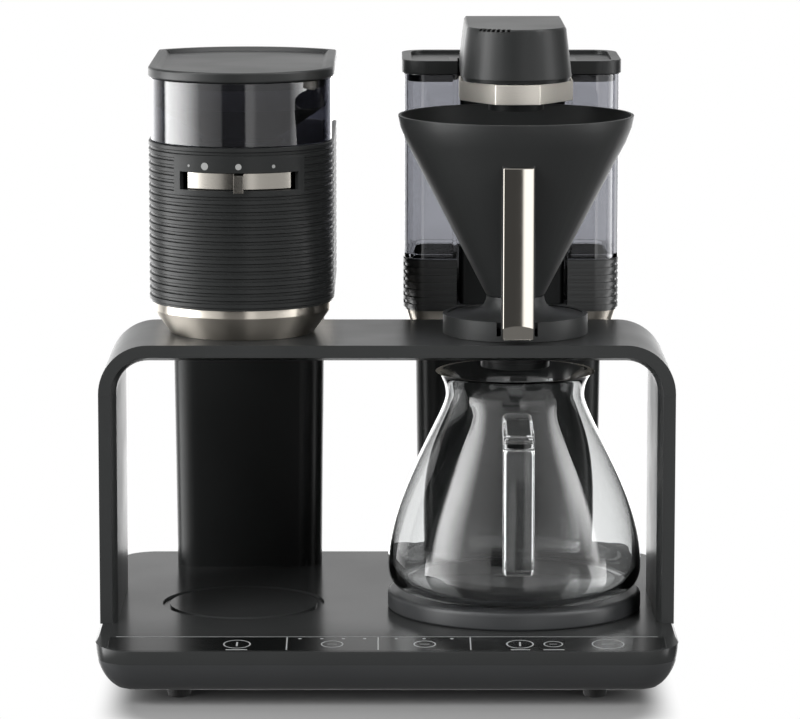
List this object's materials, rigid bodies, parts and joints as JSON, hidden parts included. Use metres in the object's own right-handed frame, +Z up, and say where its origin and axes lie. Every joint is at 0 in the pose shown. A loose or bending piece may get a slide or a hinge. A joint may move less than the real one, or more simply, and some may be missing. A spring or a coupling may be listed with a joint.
{
  "type": "drip coffee maker with grinder",
  "caption": "Drip coffee maker with a built-in bean grinder, glass carafe on a warming plate, filter cone on a bridge, water tank and spray head.",
  "frame": {"origin": "under the middle of the base, on the table", "axes": "+X to the right seen from the front, +Y to the back, +Z up"},
  "size_m": [0.35, 0.298, 0.3998],
  "materials": {
    "satin_black_plastic": "satin",
    "ribbed_black_plastic": "satin",
    "painted_frame": "satin",
    "hot_plate_coating": "satin",
    "polished_steel": "polished",
    "brushed_steel": "brushed",
    "smoked_plastic": "polished",
    "clear_glass": "polished",
    "touch_glass": "gloss",
    "rubber": "matte",
    "brass": "satin",
    "circuit_board": "satin",
    "motor_steel": "satin",
    "heater_aluminium": "satin",
    "silicone_tube": "matte"
  },
  "bodies": {
    "machine": {"base_deck": "satin_black_plastic", "base_tub": "satin_black_plastic", "bottom_cover": "satin_black_plastic", "bridge": "painted_frame", "control_strip": "touch_glass", "cover_screws": "brushed_steel", "drip_housing": "satin_black_plastic", "drip_spring": "brushed_steel", "flow_heater": "heater_aluminium", "frame_pins": "brushed_steel", "grinder_column": "satin_black_plastic", "grinder_frame": "satin_black_plastic", "grinder_housing": "ribbed_black_plastic", "grinder_motor": "motor_steel", "grinder_skirt": "polished_steel", "grounds_chute": "satin_black_plastic", "head_base": "satin_black_plastic", "head_cover": "ribbed_black_plastic", "heating_element": "brushed_steel", "hot_plate": "hot_plate_coating", "hot_water_tube": "silicone_tube", "left_leg": "painted_frame", "leg_screws": "brushed_steel", "main_board": "circuit_board", "mains_gland": "rubber", "nozzle_motor": "motor_steel", "pump": "motor_steel", "right_leg": "painted_frame", "riser_post": "satin_black_plastic", "rubber_feet": "rubber", "steel_band": "polished_steel", "tank_collar": "ribbed_black_plastic", "tank_column": "satin_black_plastic", "tank_skirt": "polished_steel", "touch_board": "circuit_board", "warming_ring": "satin_black_plastic"},
    "hopper": {"bean_hopper": "smoked_plastic", "hopper_funnel": "satin_black_plastic"},
    "hopper_lid_body": {"hopper_lid": "ribbed_black_plastic"},
    "grind_setting": {"grind_slider": "brushed_steel", "adjust_ring": "satin_black_plastic", "upper_burr": "brushed_steel"},
    "burr": {"lower_burr": "brushed_steel", "burr_gear": "brass"},
    "idler": {"idler_gear": "brass"},
    "pinion": {"motor_pinion": "brass"},
    "tank": {"water_tank": "smoked_plastic", "valve_seal": "rubber", "valve_spring": "brushed_steel"},
    "tank_lid_body": {"tank_lid": "ribbed_black_plastic"},
    "valve": {"tank_valve": "brass"},
    "nozzle": {"spray_nozzle": "satin_black_plastic"},
    "filter": {"filter_cone": "ribbed_black_plastic", "cone_stand": "ribbed_black_plastic", "cone_handle": "satin_black_plastic", "handle_trim": "polished_steel"},
    "carafe": {"carafe_glass": "clear_glass", "carafe_handle": "clear_glass"},
    "plunger": {"drip_plunger": "satin_black_plastic"}
  },
  "joints": [
    {"name": "hopper_lift", "type": "slide", "parent": "machine", "child": "hopper", "axis": [0, 0, 1], "range_m": [0, 0.08]},
    {"name": "hopper_lid_lift", "type": "slide", "parent": "hopper", "child": "hopper_lid_body", "axis": [0, 0, 1], "range_m": [0, 0.04]},
    {"name": "grind_setting_turn", "type": "hinge", "parent": "machine", "child": "grind_setting", "pos_m": [-0.0895, -0.017, 0.309], "axis": [0, 0, 1], "range_deg": [-34, 22]},
    {"name": "burr_spin", "type": "hinge", "parent": "machine", "child": "burr", "pos_m": [-0.0895, -0.017, 0.25], "axis": [0, 0, 1], "continuous": true},
    {"name": "idler_spin", "type": "hinge", "parent": "machine", "child": "idler", "pos_m": [-0.0895, 0.037, 0.25], "axis": [0, 0, 1], "continuous": true},
    {"name": "pinion_spin", "type": "hinge", "parent": "machine", "child": "pinion", "pos_m": [-0.0895, 0.069, 0.25], "axis": [0, 0, 1], "continuous": true},
    {"name": "tank_lift", "type": "slide", "parent": "machine", "child": "tank", "axis": [0, 0, 1], "range_m": [0, 0.13]},
    {"name": "tank_lid_lift", "type": "slide", "parent": "tank", "child": "tank_lid_body", "axis": [0, 0, 1], "range_m": [0, 0.06]},
    {"name": "valve_push", "type": "slide", "parent": "tank", "child": "valve", "axis": [0, 0, 1], "range_m": [0, 0.004], "stiffness_N_per_m": 250, "springref_m": -0.003, "deforming": ["valve_spring"]},
    {"name": "nozzle_spin", "type": "hinge", "parent": "machine", "child": "nozzle", "pos_m": [0.079, -0.026, 0.352], "axis": [0, 0, 1], "continuous": true},
    {"name": "filter_slide", "type": "slide", "parent": "machine", "child": "filter", "axis": [0, -1, 0], "range_m": [0, 0.2]},
    {"name": "carafe_slide", "type": "slide", "parent": "machine", "child": "carafe", "axis": [0, -1, 0], "range_m": [0, 0.25]},
    {"name": "plunger_push", "type": "slide", "parent": "machine", "child": "plunger", "axis": [0, 0, 1], "range_m": [0, 0.003], "stiffness_N_per_m": 300, "springref_m": -0.003, "deforming": ["drip_spring"]}
  ],
  "couplings": [
    {"joint": "idler_spin", "follows": "burr_spin", "ratio": -1.25},
    {"joint": "pinion_spin", "follows": "burr_spin", "ratio": 3.75}
  ]
}
